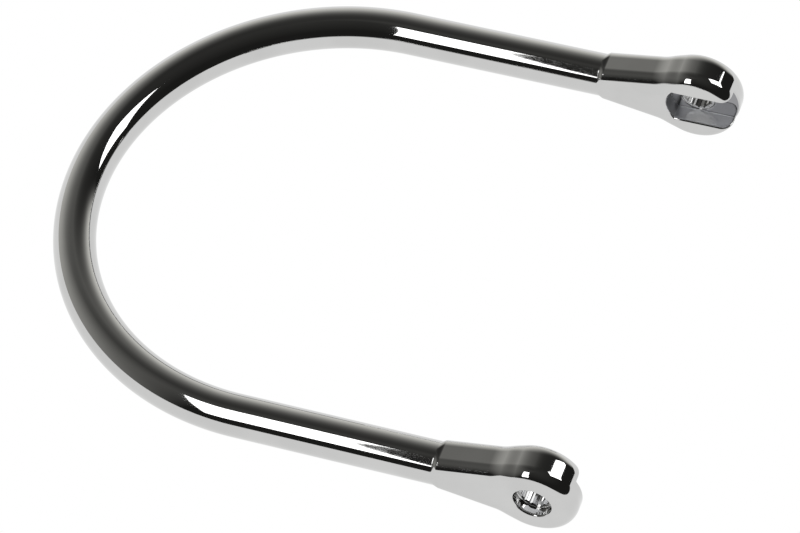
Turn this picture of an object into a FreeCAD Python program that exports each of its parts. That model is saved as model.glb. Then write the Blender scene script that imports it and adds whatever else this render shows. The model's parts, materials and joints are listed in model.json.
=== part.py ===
import FreeCAD, Part
import math
import os

import Sketcher
from FreeCAD import Vector

# A U-shaped lifting bail: a bent round bar with a flat-sided eye socketed on each end, and a serrated ring
# pressed into each eye. Millimetres. The origin is the middle of the pivot axis that joins the two eyes.
# +X points from the bow to the open ends, +Y along the pivot axis from the left eye to the right eye,
# and +Z out of the bail's plane.

DIMENSIONS = {
    # the bent bar
    "rod_diameter": 10.0,
    "bow_radius": 58.2,  # of the bar's centre line
    "bow_reach": 71.0,  # from the bow's centre to the pivot axis
    "spigot_diameter": 6.0,
    "spigot_length": 9.0,
    "spigot_chamfer": 0.6,
    # the neck that carries each eye
    "neck_length": 23.5,  # from the bar's end to the pivot axis
    "collar_length": 2.2,  # where the bar's round becomes the neck's flats
    "round_corner": 4.9,  # corner radius that makes the first section all but round
    "neck_thickness": 9.0,
    "neck_corner": 2.1,
    "collar_height": 9.8,
    "root_reach": 3.0,  # from the pivot axis to the neck's last section, inside the eye
    "root_height": 17.2,
    "socket_clearance": 0.5,
    # the eye
    "eye_radius": 10.1,
    "eye_thickness": 9.7,
    "eye_edge_radius": 2.2,
    "seat_radius": 4.4,  # the plain counterbore in the outer face
    "seat_depth": 2.5,  # from the outer face to the ring
    "seat_chamfer": 0.25,
    # the slot in the eye's inner face, open towards the tip
    "slot_width": 8.9,
    "slot_end_radius": 6.6,  # about the pivot axis
    "slot_depth": 4.2,
    # the serrated ring
    "ring_radius": 4.15,
    "crest_radius": 3.3,
    "root_radius": 3.8,
    "serration_count": 16.0,
    "ring_chamfer": 0.2,
}

DERIVED = {
    "rod_radius": "=rod_diameter / 2",
    "spigot_radius": "=spigot_diameter / 2",
    "ring_length": "=eye_thickness - seat_depth - slot_depth",
    "socket_depth": "=spigot_length + socket_clearance",
    "groove_start": "=0.9 * crest_radius",  # inside the hole, so that the groove's mouth is open
}

TOLERANCE = 1e-3  # for telling one edge from another
SMALLEST_CUT = 0.01  # cubic millimetres

doc = FreeCAD.newDocument("lifting_bail")
sheet = doc.addObject("Spreadsheet::Sheet", "dims")


def fill_sheet():
    """Writes each driving dimension as a plain number, then the values worked out from them."""
    row = 1
    for table in (DIMENSIONS, DERIVED):
        for alias, value in table.items():
            cell = f"B{row}"
            sheet.set(f"A{row}", alias)
            sheet.set(cell, str(value))
            sheet.setAlias(cell, alias)
            row += 1
    doc.recompute()


def dim(alias):
    """The sheet's value, for the few places that an expression can't reach."""
    return float(sheet.get(alias))


def evaluate(sketch, expression):
    """What an expression comes to, as a plain number."""
    value = sketch.evalExpression(expression)
    return float(getattr(value, "Value", value))


def new_body(label):
    body = doc.addObject("PartDesign::Body", label)
    body.Label = label
    return body


def side_of(body):
    """-1 for a piece of the left eye, which lies towards -Y, and +1 for one of the right eye."""
    return -1 if body.Label.startswith("left") else 1


def new_sketch(body, name, role, offset_expression):
    """A sketch on one of the body's own origin planes, moved along the plane's normal."""
    sketch = body.newObject("Sketcher::SketchObject", name)
    plane = next(f for f in body.Origin.OriginFeatures if f.Role == role)
    sketch.AttachmentSupport = [(plane, "")]
    sketch.MapMode = "FlatFace"
    sketch.setExpression("AttachmentOffset.Base.z", offset_expression)
    return sketch


def constrain(sketch, kind, targets, expression, name):
    """A dimension of the sketch that the sheet drives."""
    value = evaluate(sketch, expression)
    index = sketch.addConstraint(Sketcher.Constraint(kind, *targets, value))
    sketch.renameConstraint(index, name)
    sketch.setExpression(f"Constraints.{name}", expression)


def relate(sketch, kind, *targets):
    """A relation that has no size, such as Tangent or Horizontal."""
    sketch.addConstraint(Sketcher.Constraint(kind, *targets))


def add_circle(sketch, radius_expression, name, centre_expression=None):
    """A circle at the sketch's origin, or at the given distance along its horizontal axis."""
    centre_x = evaluate(sketch, centre_expression) if centre_expression else 0.0
    shape = Part.Circle(Vector(centre_x, 0, 0), Vector(0, 0, 1), evaluate(sketch, radius_expression))
    circle = sketch.addGeometry(shape)
    relate(sketch, "PointOnObject", circle, 3, -1)
    if centre_expression:
        constrain(sketch, "DistanceX", (-1, 1, circle, 3), centre_expression, f"{name}_x")
    else:
        relate(sketch, "PointOnObject", circle, 3, -2)
    constrain(sketch, "Radius", (circle,), radius_expression, f"{name}_radius")


def rounded_rectangle(width, height, corner, centre_x):
    """The corner arcs and sides of a rounded rectangle, in turn round its outline."""
    quarter = math.pi / 2
    signs = [(1, 1), (-1, 1), (-1, -1), (1, -1)]
    centres = []
    for sx, sy in signs:
        centres.append(Vector(centre_x + sx * (width / 2 - corner), sy * (height / 2 - corner), 0))
    edges = []
    for number, centre in enumerate(centres):
        start = quarter * number
        outwards = Vector(math.cos(start + quarter), math.sin(start + quarter), 0) * corner
        circle = Part.Circle(centre, Vector(0, 0, 1), corner)
        edges.append(Part.ArcOfCircle(circle, start, start + quarter))
        following = centres[(number + 1) % len(centres)]
        edges.append(Part.LineSegment(centre + outwards, following + outwards))
    return edges


def add_rounded_rectangle(sketch, width, height, corner, centre):
    """A closed rounded rectangle that four expressions size and place."""
    numbers = [evaluate(sketch, expression) for expression in (width, height, corner, centre)]
    ids = [sketch.addGeometry(edge) for edge in rounded_rectangle(*numbers)]
    for first, second in zip(ids, ids[1:] + ids[:1]):
        relate(sketch, "Tangent", first, 2, second, 1)
    arcs = ids[0::2]
    top, left, bottom, right = ids[1::2]
    for line in (top, bottom):
        relate(sketch, "Horizontal", line)
    for line in (left, right):
        relate(sketch, "Vertical", line)
    for arc in arcs[1:]:
        relate(sketch, "Equal", arcs[0], arc)
    constrain(sketch, "Radius", (arcs[0],), corner, "corner")
    constrain(sketch, "DistanceX", (-1, 1, right, 1), f"{centre} + ({width}) / 2", "right")
    constrain(sketch, "DistanceX", (-1, 1, left, 1), f"{centre} - ({width}) / 2", "left")
    constrain(sketch, "DistanceY", (-1, 1, top, 1), f"({height}) / 2", "top")
    constrain(sketch, "DistanceY", (bottom, 1, -1, 1), f"({height}) / 2", "bottom")


def edges_where(shape, test):
    return [f"Edge{number}" for number, edge in enumerate(shape.Edges, 1) if test(edge)]


def is_circle(edge, radius):
    curve = edge.Curve
    return isinstance(curve, Part.Circle) and abs(curve.Radius - radius) < TOLERANCE


def dress(body, kind, name, base, edges, size_expression):
    """A fillet or a chamfer on named edges of the body's last feature."""
    feature = body.newObject(f"PartDesign::{kind}", name)
    feature.Base = (base, edges)
    feature.setExpression("Radius" if kind == "Fillet" else "Size", size_expression)
    doc.recompute()


def pad(body, name, sketch, length_expression, reverse=False, midplane=False):
    feature = body.newObject("PartDesign::Pad", name)
    feature.Profile = sketch
    feature.Reversed = reverse
    feature.Midplane = midplane
    feature.setExpression("Length", length_expression)
    doc.recompute()
    return feature


def pocket(body, name, sketch, length_expression, reverse):
    """Cuts the sketch's outline out of the body, and stops the run if that takes nothing away."""
    before = body.Shape.Volume
    feature = body.newObject("PartDesign::Pocket", name)
    feature.Profile = sketch
    feature.Reversed = reverse
    feature.setExpression("Length", length_expression)
    doc.recompute()
    if before - feature.Shape.Volume < SMALLEST_CUT:
        raise RuntimeError(f"{body.Label}: {name} cut nothing")
    return feature


def make_bow_path(body):
    """The bar's centre line: straight arm, half circle, straight arm."""
    reach = dim("bow_reach")
    radius = dim("bow_radius")
    end = -dim("neck_length")
    path = new_sketch(body, "bow_path", "XY_Plane", "0 mm")
    left = path.addGeometry(Part.LineSegment(Vector(end, -radius, 0), Vector(-reach, -radius, 0)))
    circle = Part.Circle(Vector(-reach, 0, 0), Vector(0, 0, 1), radius)
    bow = path.addGeometry(Part.ArcOfCircle(circle, math.pi / 2, 3 * math.pi / 2))
    right = path.addGeometry(Part.LineSegment(Vector(-reach, radius, 0), Vector(end, radius, 0)))
    relate(path, "Horizontal", left)
    relate(path, "Horizontal", right)
    relate(path, "Tangent", left, 2, bow, 2)
    relate(path, "Tangent", bow, 1, right, 1)
    relate(path, "PointOnObject", bow, 3, -1)
    relate(path, "Equal", left, right)
    constrain(path, "Radius", (bow,), "dims.bow_radius", "bow")
    constrain(path, "DistanceX", (bow, 3, -1, 1), "dims.bow_reach", "reach")
    constrain(path, "DistanceX", (left, 1, -1, 1), "dims.neck_length", "end")
    return path


def make_bow_rod():
    """The bent round bar, with a turned spigot on each end."""
    body = new_body("bow_rod")
    path = make_bow_path(body)
    section = new_sketch(body, "bar_section", "YZ_Plane", "-dims.neck_length")
    add_circle(section, "dims.rod_radius", "bar", "-dims.bow_radius")
    doc.recompute()
    pipe = body.newObject("PartDesign::AdditivePipe", "bent_bar")
    pipe.Profile = section
    pipe.Spine = path
    doc.recompute()

    ends = new_sketch(body, "spigot_sections", "YZ_Plane", "-dims.neck_length")
    add_circle(ends, "dims.spigot_radius", "left", "-dims.bow_radius")
    add_circle(ends, "dims.spigot_radius", "right", "dims.bow_radius")
    spigots = pad(body, "spigots", ends, "dims.spigot_length")
    tip_x = dim("spigot_length") - dim("neck_length")
    tips = edges_where(
        spigots.Shape,
        lambda e: is_circle(e, dim("spigot_radius")) and abs(e.CenterOfMass.x - tip_x) < TOLERANCE,
    )
    dress(body, "Chamfer", "spigot_chamfers", spigots, tips, "dims.spigot_chamfer")
    return body


def make_eye(body):
    """The eye's disc about the pivot axis, with both rims rounded."""
    outline = new_sketch(body, "eye_outline", "XZ_Plane", f"{-side_of(body)} * dims.bow_radius")
    add_circle(outline, "dims.eye_radius", "eye")
    disc = pad(body, "eye_disc", outline, "dims.eye_thickness", midplane=True)
    rims = edges_where(disc.Shape, lambda e: is_circle(e, dim("eye_radius")))
    dress(body, "Fillet", "eye_rims", disc, rims, "dims.eye_edge_radius")


def make_neck(body):
    """The neck: nearly round at the bar, flat-sided past the collar, and taller towards the eye."""
    collar_place = "dims.collar_length - dims.neck_length"
    # name, place along X, width, height and corner radius of each section
    stations = [
        ("neck_start", "-dims.neck_length", "rod_diameter", "rod_diameter", "round_corner"),
        ("neck_collar", collar_place, "neck_thickness", "collar_height", "neck_corner"),
        ("neck_root", "-dims.root_reach", "neck_thickness", "root_height", "neck_corner"),
    ]
    centre = f"{side_of(body)} * dims.bow_radius"
    sections = []
    for name, place, width, height, corner in stations:
        section = new_sketch(body, name, "YZ_Plane", place)
        add_rounded_rectangle(section, f"dims.{width}", f"dims.{height}", f"dims.{corner}", centre)
        sections.append(section)
    doc.recompute()
    loft = body.newObject("PartDesign::AdditiveLoft", "neck")
    loft.Profile = sections[0]
    loft.Sections = sections[1:]
    loft.Ruled = True
    doc.recompute()


def add_slot_outline(sketch):
    """An arc about the pivot axis at the slot's closed end, and two flats that run past the tip."""
    radius = dim("slot_end_radius")
    half = dim("slot_width") / 2
    past_tip = 2 * dim("eye_radius")
    angle = math.asin(half / radius)
    meet = -radius * math.cos(angle)
    circle = Part.Circle(Vector(0, 0, 0), Vector(0, 0, 1), radius)
    arc = sketch.addGeometry(Part.ArcOfCircle(circle, math.pi - angle, math.pi + angle))
    corners = [(meet, -half), (past_tip, -half), (past_tip, half), (meet, half)]
    outline = [arc]
    for start, finish in zip(corners, corners[1:]):
        outline.append(sketch.addGeometry(Part.LineSegment(Vector(*start, 0), Vector(*finish, 0))))
    low, end, high = outline[1:]
    for first, second in zip(outline, outline[1:] + outline[:1]):
        relate(sketch, "Coincident", first, 2, second, 1)
    relate(sketch, "Horizontal", low)
    relate(sketch, "Horizontal", high)
    relate(sketch, "Vertical", end)
    relate(sketch, "Coincident", arc, 3, -1, 1)
    constrain(sketch, "Radius", (arc,), "dims.slot_end_radius", "closed_end")
    constrain(sketch, "DistanceY", (-1, 1, high, 1), "dims.slot_width / 2", "upper_flat")
    constrain(sketch, "DistanceY", (low, 1, -1, 1), "dims.slot_width / 2", "lower_flat")
    constrain(sketch, "DistanceX", (-1, 1, end, 1), "2 * dims.eye_radius", "past_tip")


def make_end_fitting(label):
    """A neck and an eye in one piece. The right fitting is the left one's mirror image."""
    body = new_body(label)
    side = side_of(body)
    make_eye(body)
    make_neck(body)

    # the blind socket that takes the bar's spigot
    mouth = new_sketch(body, "socket_mouth", "YZ_Plane", "-dims.neck_length")
    add_circle(mouth, "dims.spigot_radius", "socket", f"{side} * dims.bow_radius")
    pocket(body, "socket", mouth, "dims.socket_depth", reverse=True)

    # the ring's bore, right through the eye, and the wider seat in the outer face
    # (the XZ plane's normal is -Y)
    outer_face = f"{-side} * (dims.bow_radius + dims.eye_thickness / 2)"
    bore = new_sketch(body, "bore_circle", "XZ_Plane", outer_face)
    add_circle(bore, "dims.ring_radius", "bore")
    pocket(body, "ring_bore", bore, "dims.eye_thickness", reverse=side > 0)
    seat = new_sketch(body, "seat_circle", "XZ_Plane", outer_face)
    add_circle(seat, "dims.seat_radius", "seat")
    pocket(body, "pin_seat", seat, "dims.seat_depth", reverse=side > 0)

    # the slot for a tang, which slides in from the tip
    inner_face = f"{-side} * (dims.bow_radius - dims.eye_thickness / 2)"
    slot = new_sketch(body, "slot_outline", "XZ_Plane", inner_face)
    add_slot_outline(slot)
    slotted = pocket(body, "tang_slot", slot, "dims.slot_depth", reverse=side < 0)

    outer_y = side * (dim("bow_radius") + dim("eye_thickness") / 2)
    mouth_edges = edges_where(
        slotted.Shape,
        lambda e: is_circle(e, dim("seat_radius")) and abs(e.CenterOfMass.y - outer_y) < TOLERANCE,
    )
    dress(body, "Chamfer", "seat_chamfer", slotted, mouth_edges, "dims.seat_chamfer")
    return body


def add_serration(sketch):
    """One V-shaped groove: its root on the root circle, its mouth just inside the crest circle."""
    root = dim("root_radius")
    start = dim("groove_start")
    spread = start * math.tan(math.pi / dim("serration_count"))
    corners = [Vector(start, -spread, 0), Vector(root, 0, 0), Vector(start, spread, 0)]
    ids = []
    for a, b in zip(corners, corners[1:] + corners[:1]):
        ids.append(sketch.addGeometry(Part.LineSegment(a, b)))
    for first, second in zip(ids, ids[1:] + ids[:1]):
        relate(sketch, "Coincident", first, 2, second, 1)
    lower, upper, mouth = ids
    relate(sketch, "Vertical", mouth)
    relate(sketch, "Equal", lower, upper)
    relate(sketch, "PointOnObject", upper, 1, -1)
    constrain(sketch, "DistanceX", (-1, 1, upper, 1), "dims.root_radius", "root")
    constrain(sketch, "DistanceX", (-1, 1, mouth, 1), "dims.groove_start", "mouth_x")
    full_spread = "2 * dims.groove_start * tan(180 deg / dims.serration_count)"
    constrain(sketch, "DistanceY", (lower, 1, upper, 2), full_spread, "mouth_width")


def make_serrated_bush(label):
    """A ring pressed into the eye's bore under the seat, with V-shaped serrations along its hole."""
    body = new_body(label)
    side = side_of(body)
    face = f"{-side} * (dims.bow_radius + dims.eye_thickness / 2 - dims.seat_depth)"
    section = new_sketch(body, "ring_section", "XZ_Plane", face)
    add_circle(section, "dims.ring_radius", "outside")
    add_circle(section, "dims.crest_radius", "hole")
    ring = pad(body, "ring", section, "dims.ring_length", reverse=side < 0)
    rims = edges_where(ring.Shape, lambda e: is_circle(e, dim("ring_radius")))
    dress(body, "Chamfer", "ring_chamfers", ring, rims, "dims.ring_chamfer")

    groove_section = new_sketch(body, "serration_section", "XZ_Plane", face)
    add_serration(groove_section)
    groove = pocket(body, "serration", groove_section, "dims.ring_length", reverse=side > 0)
    pattern = body.newObject("PartDesign::PolarPattern", "serrations")
    pattern.Originals = [groove]
    pattern.Axis = (section, ["N_Axis"])
    pattern.Angle = 360.0
    pattern.setExpression("Occurrences", "dims.serration_count")
    body.Tip = pattern
    doc.recompute()
    if groove.Shape.Volume - pattern.Shape.Volume < SMALLEST_CUT:
        raise RuntimeError(f"{label}: the serrations cut nothing")
    return body


def check_and_export(bodies):
    """Stops if anything in the document failed, then writes one STEP file for each piece."""
    doc.recompute()
    for thing in doc.Objects:
        if "Invalid" in thing.State or "Error" in thing.State:
            raise RuntimeError(f"{thing.Label} failed: {thing.State}")
    for body in bodies:
        shape = body.Shape
        if shape.isNull() or not shape.isValid() or len(shape.Solids) != 1:
            raise RuntimeError(f"{body.Label} isn't one valid solid")
    os.makedirs("parts", exist_ok=True)
    for body in bodies:
        body.Shape.exportStep(f"parts/{body.Label}.step")
        print(f"{body.Label}: {body.Shape.Volume:.0f} cubic millimetres")


fill_sheet()
pieces = [make_bow_rod()]
for hand in ("left", "right"):
    pieces.append(make_end_fitting(f"{hand}_end_fitting"))
    pieces.append(make_serrated_bush(f"{hand}_serrated_bush"))
check_and_export(pieces)
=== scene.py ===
import json
import math

import bpy
import numpy as np
from mathutils import Matrix, Quaternion, Vector


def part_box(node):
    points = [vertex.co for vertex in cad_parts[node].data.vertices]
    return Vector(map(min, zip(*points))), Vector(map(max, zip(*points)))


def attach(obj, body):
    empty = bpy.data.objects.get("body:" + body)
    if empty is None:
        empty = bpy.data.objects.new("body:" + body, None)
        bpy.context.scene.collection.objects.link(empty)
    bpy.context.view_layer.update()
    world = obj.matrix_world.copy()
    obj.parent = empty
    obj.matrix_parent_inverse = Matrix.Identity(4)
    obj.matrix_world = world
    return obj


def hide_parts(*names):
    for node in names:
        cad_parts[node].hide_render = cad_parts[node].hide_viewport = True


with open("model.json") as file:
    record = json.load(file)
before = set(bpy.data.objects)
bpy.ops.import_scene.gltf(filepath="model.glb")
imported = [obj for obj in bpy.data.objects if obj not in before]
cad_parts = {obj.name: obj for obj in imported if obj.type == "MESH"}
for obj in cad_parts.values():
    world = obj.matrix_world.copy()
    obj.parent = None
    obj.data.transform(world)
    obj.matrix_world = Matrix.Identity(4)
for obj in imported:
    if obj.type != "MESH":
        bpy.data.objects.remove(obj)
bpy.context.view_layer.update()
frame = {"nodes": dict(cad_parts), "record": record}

# The looks of a chromed lifting bail. Everything is in metres and in the CAD part's frame: the origin is the
# middle of the pivot axis, +X points from the bow to the open ends, +Y from the left eye to the right one.
# The bar and the two end fittings are meshed again here, finely enough for a mirror finish, with the soft
# edges and the blended crease of polished metal. The serrated rings are the CAD's own.

MM = 0.001

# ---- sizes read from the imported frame

bar_low, bar_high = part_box("bow_rod")
fitting_low, fitting_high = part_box("right_end_fitting")
ring_low, ring_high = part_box("right_serrated_bush")
mounts = {m["name"]: m for m in frame["record"]["mounts"]}

BAR_RADIUS = bar_high.z
BOW_RADIUS = bar_high.y - BAR_RADIUS
BOW_CENTRE_X = bar_low.x + BAR_RADIUS + BOW_RADIUS
NECK_START = fitting_low.x
SPIGOT_END = bar_high.x
EYE_RADIUS = fitting_high.z
OUTER_FACE = mounts["right_outer_face"]["pos_m"][1] - BOW_RADIUS
INNER_FACE = mounts["right_inner_face"]["pos_m"][1] - BOW_RADIUS
SEAT_FLOOR = ring_high.y - BOW_RADIUS
SLOT_FLOOR = ring_low.y - BOW_RADIUS
BORE_RADIUS = ring_high.z
SEAT_RADIUS = mounts["right_pin_seat"]["dims"]["r_mm"] * MM

# ---- sizes that the frame doesn't list

# the spigot at each end of the bar, and the socket in the neck that takes it
SPIGOT_RADIUS = 3.0 * MM
SPIGOT_CHAMFER = 0.6 * MM
SOCKET_DEPTH = 9.5 * MM
SOCKET_GAP = 0.02 * MM

# the neck, from the collar at the bar to its root in the eye
COLLAR = 1.4 * MM  # the length over which the bar's round becomes the neck's flats
COLLAR_HALF_HEIGHT = 4.8 * MM
NECK_HALF_WIDTH = 4.5 * MM
ROOT_X = -3.0 * MM  # where the neck's straight edges would reach the root's height
ROOT_HALF_HEIGHT = 8.6 * MM
NECK_FADE = -7.0 * MM  # from here on the neck gives way to the eye
FADE_LENGTH = 8.0 * MM  # the longer it is, the more slowly the neck narrows past that point
EYE_BLEND = 6.0 * MM  # the length over which the neck's section becomes the eye's
CREASE = 2.4 * MM  # how softly the neck's outline runs into the eye's

# the long edges are quarter ellipses: the width goes across the part, and the drop in from its outline
NECK_CORNER_WIDTH = 2.8 * MM
NECK_CORNER_DROP = 2.4 * MM
EYE_CORNER_WIDTH = 3.1 * MM
EYE_CORNER_DROP = 2.1 * MM

# the slot in the eye's inner face, open towards the tip and round at its other end
SLOT_HALF_WIDTH = 4.45 * MM
SLOT_END_RADIUS = 6.6 * MM
EDGE_BREAK = 0.3 * MM  # how far the cut edges are rounded off

# the meshes
GRID = 0.2 * MM  # the spacing of the end fittings' vertices
SUPPORT = 0.04 * MM  # from the bar's shoulder to the next ring, so that its shading stays true
BAR_SIDES = 128
BOW_STEPS = 240
ARM_STEPS = 24
SHARP_EDGE = math.radians(30)

# ---- the end fitting's surface, as a distance that is negative inside the metal
# x runs along the arm, w across the eye towards its outer face, z up


def smooth_min(a, b, reach):
    """The smaller of two distances, with a fillet where they are within reach of each other."""
    share = np.clip(0.5 + 0.5 * (b - a) / reach, 0, 1)
    return b * (1 - share) + a * share - reach * share * (1 - share)


def smooth_max(a, b, reach):
    return -smooth_min(-a, -b, reach)


def rounded(a, b, reach_a, reach_b):
    """Distance to an elliptical corner whose half axes are the reaches, from those to its two sides."""
    past_a = np.maximum(a + reach_a, 0)
    past_b = np.maximum(b + reach_b, 0)
    size = np.hypot(past_a / reach_a, past_b / reach_b)
    steepness = np.hypot(past_a / reach_a**2, past_b / reach_b**2)
    near_corner = (size - 1) * size / np.maximum(steepness, 1e-9)
    return np.where(size > 0, near_corner, np.maximum(a, b))


def ease(value):
    """From 0 to 1 with level ends."""
    share = np.clip(value, 0, 1)
    return share * share * (3 - 2 * share)


def fitting_distance(points):
    """Round at the bar, flat-sided past the collar and taller towards the eye, with rounded long edges."""
    x, w, z = points.T
    from_pivot = np.hypot(x, z)
    along = x - NECK_START
    flat = ease(along / COLLAR)
    eye = ease((x - ROOT_X + EYE_BLEND) / EYE_BLEND)

    def from_round(at_neck, at_eye):
        """A size that is the bar's radius at the collar, and then the neck's and the eye's own."""
        return BAR_RADIUS + (at_neck - BAR_RADIUS) * flat + (at_eye - at_neck) * eye

    slope = (ROOT_HALF_HEIGHT - COLLAR_HALF_HEIGHT) / (ROOT_X - NECK_START - COLLAR)
    collar_height = BAR_RADIUS + (COLLAR_HALF_HEIGHT - BAR_RADIUS) * flat
    half_height = collar_height + slope * np.clip(along - COLLAR, 0, None)
    neck_outline = np.abs(z) - half_height + np.clip(x - NECK_FADE, 0, None) ** 2 / FADE_LENGTH
    outline = smooth_min(from_pivot - EYE_RADIUS, neck_outline, CREASE)
    half_width = from_round(NECK_HALF_WIDTH, (OUTER_FACE - INNER_FACE) / 2)
    corner_drop = from_round(NECK_CORNER_DROP, EYE_CORNER_DROP)
    corner_width = from_round(NECK_CORNER_WIDTH, EYE_CORNER_WIDTH)
    metal = rounded(outline, np.abs(w) - half_width, corner_drop, corner_width)
    metal = np.maximum(metal, -along)

    flats = np.abs(z) - SLOT_HALF_WIDTH
    slot_outline = np.maximum(np.where(x > 0, flats, from_pivot - SLOT_END_RADIUS), flats)
    slot = np.maximum(slot_outline, w - SLOT_FLOOR)
    seat = np.maximum(from_pivot - SEAT_RADIUS, SEAT_FLOOR - w)
    metal = smooth_max(metal, -slot, 2 * EDGE_BREAK)
    metal = smooth_max(metal, -seat, 2 * EDGE_BREAK)
    metal = smooth_max(metal, BORE_RADIUS - from_pivot, EDGE_BREAK)

    socket_side = np.hypot(w, z) - SPIGOT_RADIUS - SOCKET_GAP
    socket = np.maximum(socket_side, along - SOCKET_DEPTH)
    return np.maximum(metal, -socket)


def slope_of(field, points):
    """The field's gradient, by central differences."""
    step = 0.01 * MM
    gradient = np.empty_like(points)
    for axis in range(3):
        shift = np.zeros(3)
        shift[axis] = step
        gradient[:, axis] = (field(points + shift) - field(points - shift)) / (2 * step)
    return gradient


# ---- mesh code


def surface_net(field, low, high, pitch):
    """A closed quad mesh of the field's zero surface, with one vertex in each grid cell that it crosses."""
    axes = [np.arange(a, b + pitch, pitch) for a, b in zip(low, high)]
    grid = np.stack(np.meshgrid(*axes, indexing="ij"), -1)
    value = field(grid.reshape(-1, 3)).reshape(grid.shape[:3])
    cells = tuple(n - 1 for n in value.shape)
    total = np.zeros(cells + (3,))
    count = np.zeros(cells)
    crossings = []
    for axis in range(3):
        start = [slice(None)] * 3
        stop = [slice(None)] * 3
        start[axis] = slice(0, -1)
        stop[axis] = slice(1, None)
        a, b = value[tuple(start)], value[tuple(stop)]
        cross = (a < 0) != (b < 0)
        share = np.where(cross, a / np.where(cross, a - b, 1), 0)
        point = grid[tuple(start)].copy()
        point[..., axis] += share * pitch
        crossings.append((cross, a < 0))
        others = [n for n in range(3) if n != axis]
        for first in (0, 1):
            for second in (0, 1):
                part = [slice(None)] * 3
                part[others[0]] = slice(first, first + cells[others[0]])
                part[others[1]] = slice(second, second + cells[others[1]])
                found = cross[tuple(part)]
                total += point[tuple(part)] * found[..., None]
                count += found
    used = count > 0
    vertices = total[used] / count[used][:, None]
    index = np.full(cells, -1)
    index[used] = np.arange(used.sum())

    faces = []
    for axis, (cross, inside) in enumerate(crossings):
        second, third = (axis + 1) % 3, (axis + 2) % 3
        place = np.argwhere(cross)
        corners = []
        for back_second, back_third in ((1, 1), (0, 1), (0, 0), (1, 0)):
            cell = place.copy()
            cell[:, second] -= back_second
            cell[:, third] -= back_third
            corners.append(index[tuple(cell.T)])
        quads = np.stack(corners, 1)
        outwards = inside[cross]
        quads[~outwards] = quads[~outwards][:, ::-1]
        faces.append(quads)
    return vertices, np.concatenate(faces)


def settle(field, points):
    """Moves each point along the gradient until it lies on the surface."""
    rounds = 4
    least_square = 0.25  # of the slope: keeps the move short where surfaces meet and the gradient is weak
    for _ in range(rounds):
        gradient = slope_of(field, points)
        size = np.maximum((gradient**2).sum(1), least_square)
        points = points - (field(points) / size)[:, None] * gradient
    return points


def new_piece(name, vertices, faces, normals=None):
    mesh = bpy.data.meshes.new(name)
    mesh.from_pydata(vertices.tolist(), [], [tuple(f) for f in faces])
    mesh.polygons.foreach_set("use_smooth", [True] * len(mesh.polygons))
    if normals is not None:
        mesh.normals_split_custom_set_from_vertices(normals.tolist())
    mesh.update()
    piece = bpy.data.objects.new(name, mesh)
    bpy.context.scene.collection.objects.link(piece)
    return piece


def make_fitting_surface():
    margin = 2 * GRID
    half = max(OUTER_FACE, BAR_RADIUS) + margin
    low = (NECK_START - margin, -half, -EYE_RADIUS - margin)
    high = (EYE_RADIUS + margin, half, EYE_RADIUS + margin)
    vertices, faces = surface_net(fitting_distance, low, high, GRID)
    vertices = settle(fitting_distance, vertices)
    normals = slope_of(fitting_distance, vertices)
    normals /= np.linalg.norm(normals, axis=1)[:, None]

    # the rim that meets the bar is set exactly on the bar's circle, so that no seam shows
    from_axis = np.hypot(vertices[:, 1], vertices[:, 2])
    rim_end = NECK_START + 0.6 * GRID
    rim = (vertices[:, 0] < rim_end) & (from_axis > BAR_RADIUS - GRID)
    outwards = vertices[rim] / from_axis[rim][:, None]
    outwards[:, 0] = 0
    vertices[rim] = outwards * BAR_RADIUS + (NECK_START, 0, 0)
    normals[rim] = outwards
    return vertices, faces, normals


def make_fitting(name, side, surface):
    """The same surface on either arm. Side -1 mirrors it for the left one, so its faces are turned round."""
    vertices, faces, normals = surface
    flip = np.array([1, side, 1])
    placed = (vertices + (0, BOW_RADIUS, 0)) * flip
    return new_piece(name, placed, faces if side > 0 else faces[:, ::-1], normals * flip)


def make_bar():
    """A circle carried along arm, bow and arm, and stepped down to a chamfered spigot at each end."""
    spigot = [
        (SPIGOT_END, SPIGOT_RADIUS - SPIGOT_CHAMFER),
        (SPIGOT_END - SPIGOT_CHAMFER, SPIGOT_RADIUS),
        (NECK_START, SPIGOT_RADIUS),
        (NECK_START, BAR_RADIUS),
        (NECK_START - SUPPORT, BAR_RADIUS),
    ]
    rings = [((x, -BOW_RADIUS), (0, -1), radius) for x, radius in spigot]
    arm = np.linspace(NECK_START - SUPPORT, BOW_CENTRE_X, ARM_STEPS + 1)
    rings += [((x, -BOW_RADIUS), (0, -1), BAR_RADIUS) for x in arm[1:]]
    for step in range(1, BOW_STEPS):
        angle = -math.pi / 2 - math.pi * step / BOW_STEPS
        outwards = (math.cos(angle), math.sin(angle))
        centre = (BOW_CENTRE_X + BOW_RADIUS * outwards[0], BOW_RADIUS * outwards[1])
        rings.append((centre, outwards, BAR_RADIUS))
    rings += [((x, BOW_RADIUS), (0, 1), BAR_RADIUS) for x in arm[::-1]]
    rings += [((x, BOW_RADIUS), (0, 1), radius) for x, radius in spigot[::-1][1:]]

    turn = np.arange(BAR_SIDES) * 2 * math.pi / BAR_SIDES
    vertices = []
    for centre, outwards, radius in rings:
        across = radius * np.cos(turn)
        x = centre[0] + across * outwards[0]
        y = centre[1] + across * outwards[1]
        vertices.append(np.stack([x, y, radius * np.sin(turn)], 1))
    faces = []
    for ring in range(len(rings) - 1):
        here = ring * BAR_SIDES
        beyond = here + BAR_SIDES
        for spoke in range(BAR_SIDES):
            beside = (spoke + 1) % BAR_SIDES
            faces.append((here + spoke, here + beside, beyond + beside, beyond + spoke))
    last = (len(rings) - 1) * BAR_SIDES
    faces.append(tuple(range(BAR_SIDES - 1, -1, -1)))
    faces.append(tuple(range(last, last + BAR_SIDES)))
    piece = new_piece("bar", np.concatenate(vertices), faces)
    piece.data.set_sharp_from_angle(angle=SHARP_EDGE)
    return piece


# ---- materials

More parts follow.
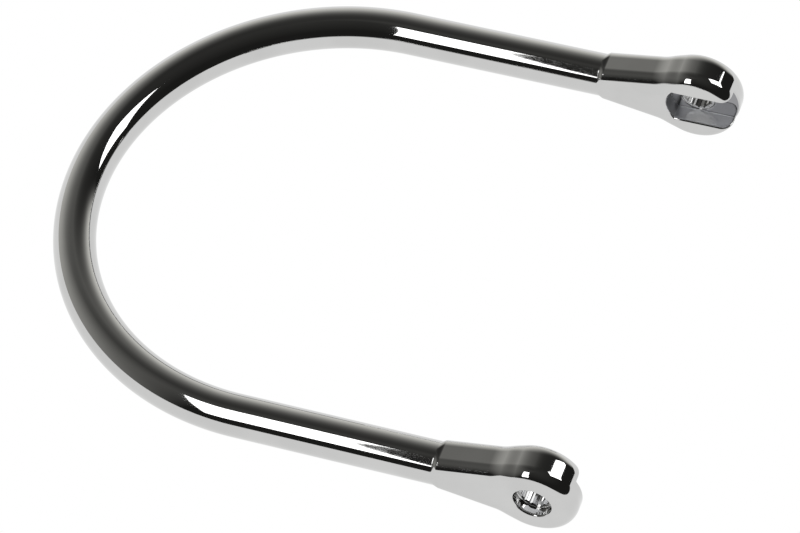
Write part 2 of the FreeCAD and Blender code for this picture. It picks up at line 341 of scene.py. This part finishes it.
POLISHED_LIGHT = (0.585, 0.585, 0.58)
POLISHED_DARK = (0.555, 0.555, 0.55)
BUSH_LIGHT = (0.56, 0.56, 0.56)
BUSH_DARK = (0.48, 0.48, 0.48)
# the slots' floors are painted darker than the metal: painted shade at the bottom of the recess
SLOT_FLOOR_PAINTED_SHADE = (0.28, 0.28, 0.29, 1)
SLOT_WALL_TONE = (0.84, 0.85, 0.87, 1)


def new_material(name):
    material = bpy.data.materials.new(name)
    material.use_nodes = True
    nodes = material.node_tree.nodes
    shader = next(n for n in nodes if n.type == "BSDF_PRINCIPLED")
    return material, material.node_tree, shader


def noise(tree, coordinates, scale, detail):
    node = tree.nodes.new("ShaderNodeTexNoise")
    node.inputs["Scale"].default_value = scale
    node.inputs["Detail"].default_value = detail
    tree.links.new(coordinates, node.inputs["Vector"])
    return node.outputs["Fac"]


def remap(tree, value, from_low, from_high, to_low=0.0, to_high=1.0, interpolation="LINEAR"):
    node = tree.nodes.new("ShaderNodeMapRange")
    node.interpolation_type = interpolation
    node.inputs["From Min"].default_value = from_low
    node.inputs["From Max"].default_value = from_high
    node.inputs["To Min"].default_value = to_low
    node.inputs["To Max"].default_value = to_high
    tree.links.new(value, node.inputs["Value"])
    return node.outputs["Result"]


def combine(tree, operation, *values):
    """A Math node's result. Each value is a number or another node's output."""
    node = tree.nodes.new("ShaderNodeMath")
    node.operation = operation
    for number, value in enumerate(values):
        if isinstance(value, (int, float)):
            node.inputs[number].default_value = value
        else:
            tree.links.new(value, node.inputs[number])
    return node.outputs[0]


def separate(tree, coordinates):
    node = tree.nodes.new("ShaderNodeSeparateXYZ")
    tree.links.new(coordinates, node.inputs[0])
    return node.outputs


def tint(tree, colour, share, tone):
    """The colour, turned to tone where share is 1. A Mix node's colour sockets go by number."""
    share_socket, colour_socket, tone_socket, result_socket = 0, 6, 7, 2
    node = tree.nodes.new("ShaderNodeMix")
    node.data_type = "RGBA"
    tree.links.new(share, node.inputs[share_socket])
    tree.links.new(colour, node.inputs[colour_socket])
    node.inputs[tone_socket].default_value = tone
    return node.outputs[result_socket]


def in_slot(tree, place, outermost):
    """1 on the faces of the eyes' slots between the eyes' inner faces and outermost, and 0 elsewhere."""
    margin = 0.02 * MM
    broken_edge = 0.45 * MM  # the rounded edge at the slot's mouth stays as polished as the outside
    x, y, z = separate(tree, place)
    y_size = combine(tree, "ABSOLUTE", y)
    z_size = combine(tree, "ABSOLUTE", z)
    beside = combine(tree, "GREATER_THAN", x, -SLOT_END_RADIUS - margin)
    between = combine(tree, "LESS_THAN", z_size, SLOT_HALF_WIDTH + margin)
    past_face = combine(tree, "GREATER_THAN", y_size, BOW_RADIUS + INNER_FACE + broken_edge)
    above_floor = combine(tree, "LESS_THAN", y_size, outermost)
    inside = combine(tree, "MULTIPLY", beside, between)
    inside = combine(tree, "MULTIPLY", inside, past_face)
    return combine(tree, "MULTIPLY", inside, above_floor)


def bump(tree, height, strength, distance):
    node = tree.nodes.new("ShaderNodeBump")
    node.inputs["Strength"].default_value = strength
    node.inputs["Distance"].default_value = distance
    tree.links.new(height, node.inputs["Height"])
    return node


def chrome(name, light, dark, smooth, dull, slot_roughness=0.0):
    """Bright chrome plate, with a faint cloudiness in its tone, hairline polishing marks and a slight wave.

    Its roughness lies between smooth and dull. With a slot_roughness, which is added to that, the walls of
    the eyes' slots are a paler satin than the polished outside, and the slots' floors are painted darker, as
    painted shade.
    """
    material, tree, shader = new_material(name)
    shader.inputs["Metallic"].default_value = 1.0
    place = tree.nodes.new("ShaderNodeTexCoord").outputs["Object"]

    ramp = tree.nodes.new("ShaderNodeValToRGB")
    dark_end, light_end = ramp.color_ramp.elements
    dark_end.position = 0.35
    dark_end.color = (*dark, 1)
    light_end.position = 0.65
    light_end.color = (*light, 1)
    tree.links.new(noise(tree, place, scale=90.0, detail=4.0), ramp.inputs["Fac"])
    colour = ramp.outputs["Color"]
    if slot_roughness:
        floor = BOW_RADIUS + SLOT_FLOOR
        margin = 0.05 * MM
        walls = in_slot(tree, place, floor - margin)
        # the slots' floors get a darker colour: painted shade at the bottom of the recess
        painted_floor_shade = combine(tree, "SUBTRACT", in_slot(tree, place, floor + margin), walls)
        colour = tint(tree, colour, painted_floor_shade, SLOT_FLOOR_PAINTED_SHADE)
        colour = tint(tree, colour, walls, SLOT_WALL_TONE)
    tree.links.new(colour, shader.inputs["Base Color"])

    # the polishing hairlines run along the arms, so their noise is squeezed across them
    stretch = tree.nodes.new("ShaderNodeMapping")
    stretch.inputs["Scale"].default_value = (1.0, 14.0, 14.0)
    tree.links.new(place, stretch.inputs["Vector"])
    hairlines = noise(tree, stretch.outputs["Vector"], scale=700.0, detail=3.0)
    cloud = noise(tree, place, scale=240.0, detail=5.0)
    marked = combine(tree, "MULTIPLY", hairlines, cloud)
    mostly_above, mostly_below = 0.12, 0.42
    roughness = remap(tree, marked, mostly_above, mostly_below, smooth, dull)
    if slot_roughness:
        roughness = combine(tree, "MULTIPLY_ADD", walls, slot_roughness, roughness)
    tree.links.new(roughness, shader.inputs["Roughness"])

    swell = noise(tree, place, scale=260.0, detail=1.0)
    wave = bump(tree, swell, strength=0.05, distance=0.02 * MM)
    marks = bump(tree, hairlines, strength=0.04, distance=0.004 * MM)
    tree.links.new(wave.outputs["Normal"], marks.inputs["Normal"])
    tree.links.new(marks.outputs["Normal"], shader.inputs["Normal"])
    return material


def put_on(piece, material):
    piece.data.materials.clear()
    piece.data.materials.append(material)


# ---- the pieces

bar = make_bar()
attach(bar, "root")
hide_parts("bow_rod")
bar_chrome = chrome("chrome_bar", POLISHED_LIGHT, POLISHED_DARK, smooth=0.02, dull=0.06)
put_on(bar, bar_chrome)

fitting_chrome = chrome(
    "chrome_fitting", POLISHED_LIGHT, POLISHED_DARK, smooth=0.02, dull=0.07, slot_roughness=0.36
)
fitting_surface = make_fitting_surface()
for hand, side in (("left", -1), ("right", 1)):
    fitting = make_fitting(f"{hand}_eye_and_neck", side, fitting_surface)
    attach(fitting, "root")
    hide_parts(f"{hand}_end_fitting")
    put_on(fitting, fitting_chrome)

bush_chrome = chrome("chrome_bush", BUSH_LIGHT, BUSH_DARK, smooth=0.06, dull=0.16)
for hand in ("left", "right"):
    ring = frame["nodes"][f"{hand}_serrated_bush"]
    ring.data.materials.clear()
    ring.data.materials.append(bush_chrome)

# ---- the floor


def make_floor():
    """Tilted so that the bail rests on it as it does on a table, on both eyes and on the crown."""
    reach = -bar_low.x - BAR_RADIUS
    tilt = math.asin((EYE_RADIUS - BAR_RADIUS) / reach)
    half = 4.0  # metres, so wide that its edge is lost in the white background
    corners = [(-half, -half, 0), (half, -half, 0), (half, half, 0), (-half, half, 0)]
    mesh = bpy.data.meshes.new("floor")
    mesh.from_pydata(corners, [], [(0, 1, 2, 3)])
    floor = bpy.data.objects.new("floor", mesh)
    bpy.context.scene.collection.objects.link(floor)
    turn = Matrix.Rotation(tilt, 4, "Y")
    floor.matrix_world = turn @ Matrix.Translation((0, 0, -EYE_RADIUS))
    mesh.materials.append(pale_floor())


def pale_floor():
    """Overlit white paper from above, and nothing from below."""
    material = bpy.data.materials.new("pale_floor")
    material.use_nodes = True
    tree = material.node_tree
    tree.nodes.clear()
    output = tree.nodes.new("ShaderNodeOutputMaterial")
    paper = tree.nodes.new("ShaderNodeEmission")
    paper.inputs["Color"].default_value = (1.0, 1.0, 1.0, 1)
    paper.inputs["Strength"].default_value = 1.0
    clear = tree.nodes.new("ShaderNodeBsdfTransparent")
    side = tree.nodes.new("ShaderNodeNewGeometry")
    choose = tree.nodes.new("ShaderNodeMixShader")
    tree.links.new(side.outputs["Backfacing"], choose.inputs[0])
    tree.links.new(paper.outputs[0], choose.inputs[1])
    tree.links.new(clear.outputs[0], choose.inputs[2])
    tree.links.new(choose.outputs[0], output.inputs["Surface"])
    return material


make_floor()

# ---- the studio


def room_brightness(tree):
    """A dim room with a bright wall behind the bail, by bearing from +X and by height, both in degrees."""
    x, y, z = separate(tree, tree.nodes.new("ShaderNodeTexCoord").outputs["Generated"])
    bearing = combine(tree, "DEGREES", combine(tree, "ARCTAN2", y, x))
    bearing = combine(tree, "WRAP", bearing, 360.0, 0.0)
    height = combine(tree, "DEGREES", combine(tree, "ARCSINE", z))

    # the wall begins at a soft edge, reaches higher further round, and fades out on its far side
    near_edge = remap(tree, bearing, 43.0, 58.0, interpolation="SMOOTHSTEP")
    far_fade = remap(tree, bearing, 120.0, 236.0, 1.0, 0.0)
    lit_height = combine(
        tree,
        "ADD",
        remap(tree, bearing, 48.0, 112.0, 14.0, 34.5),
        remap(tree, bearing, 150.0, 200.0, 0.0, 14.0),
    )
    climb = combine(tree, "DIVIDE", height, lit_height)
    climb_squared = combine(tree, "MULTIPLY", climb, climb)
    fall = combine(tree, "EXPONENT", combine(tree, "MULTIPLY", climb_squared, -1.0))
    wall = combine(tree, "MULTIPLY", combine(tree, "MULTIPLY", near_edge, far_fade), fall)
    wall_radiance = 0.85
    ceiling = remap(tree, height, 30.0, 90.0, 0.017, 0.045)
    return combine(tree, "MULTIPLY_ADD", wall, wall_radiance, ceiling)


def make_world():
    """The camera sees plain white behind the bail, and the chrome reflects the room."""
    world = bpy.data.worlds.new("studio")
    bpy.context.scene.world = world
    world.use_nodes = True
    tree = world.node_tree
    tree.nodes.clear()
    brightness = room_brightness(tree)

    room = tree.nodes.new("ShaderNodeBackground")
    room.inputs["Color"].default_value = (1.0, 0.99, 0.94, 1)
    tree.links.new(brightness, room.inputs["Strength"])
    backdrop = tree.nodes.new("ShaderNodeBackground")
    backdrop.inputs["Color"].default_value = (1.0, 1.0, 1.0, 1)
    backdrop.inputs["Strength"].default_value = 1.0
    seen = tree.nodes.new("ShaderNodeLightPath")
    choose = tree.nodes.new("ShaderNodeMixShader")
    output = tree.nodes.new("ShaderNodeOutputWorld")
    tree.links.new(seen.outputs["Is Camera Ray"], choose.inputs[0])
    tree.links.new(room.outputs[0], choose.inputs[1])
    tree.links.new(backdrop.outputs[0], choose.inputs[2])
    tree.links.new(choose.outputs[0], output.inputs["Surface"])


def make_soft_box(name, bearing, height, lean, width, tall):
    """A rectangular light that faces the bow's centre. Angles are in degrees and lengths in metres.

    Its power goes with its area, so that it looks equally bright at any size.
    """
    distance = 1.6
    radiance = 3.2
    data = bpy.data.lights.new(name, "AREA")
    data.shape = "RECTANGLE"
    data.size = width
    data.size_y = tall
    data.energy = radiance * math.pi * width * tall
    light = bpy.data.objects.new(name, data)
    bpy.context.scene.collection.objects.link(light)
    a, e = math.radians(bearing), math.radians(height)
    away = Vector((math.cos(a) * math.cos(e), math.sin(a) * math.cos(e), math.sin(e)))
    light.location = Vector((BOW_CENTRE_X, 0, 0)) + away * distance
    turn = away.to_track_quat("Z", "Y") @ Quaternion((0, 0, 1), math.radians(lean))
    light.rotation_euler = turn.to_euler()
    light.visible_camera = False


make_world()
make_soft_box("soft_box_right", bearing=32.5, height=40.0, lean=0.0, width=0.56, tall=0.86)
make_soft_box("soft_box_front", bearing=-121.5, height=46.0, lean=26.0, width=0.39, tall=1.30)

# ---- the camera


def make_camera():
    """On the left arm's side and well above the bail, aimed near its middle and rolled a little."""
    azimuth = math.radians(25.86)
    elevation = math.radians(51.29)
    roll = math.radians(-8.0)
    distance = 1.1896
    aim = Vector((-0.05013, -0.00839, 0.0))
    data = bpy.data.cameras.new("camera")
    data.sensor_width = 36.0
    data.lens = 235.6
    data.clip_start = 0.05
    camera = bpy.data.objects.new("camera", data)
    bpy.context.scene.collection.objects.link(camera)
    back = Vector(
        (
            math.sin(azimuth) * math.cos(elevation),
            -math.cos(azimuth) * math.cos(elevation),
            math.sin(elevation),
        )
    )
    right = Vector((math.cos(azimuth), math.sin(azimuth), 0))
    up = back.cross(right)
    turned = Matrix.Rotation(roll, 3, back)
    axes = Matrix((turned @ right, turned @ up, back)).transposed()
    camera.matrix_world = Matrix.Translation(aim + back * distance) @ axes.to_4x4()
    bpy.context.scene.camera = camera


make_camera()
bpy.context.scene.view_settings.view_transform = "Standard"
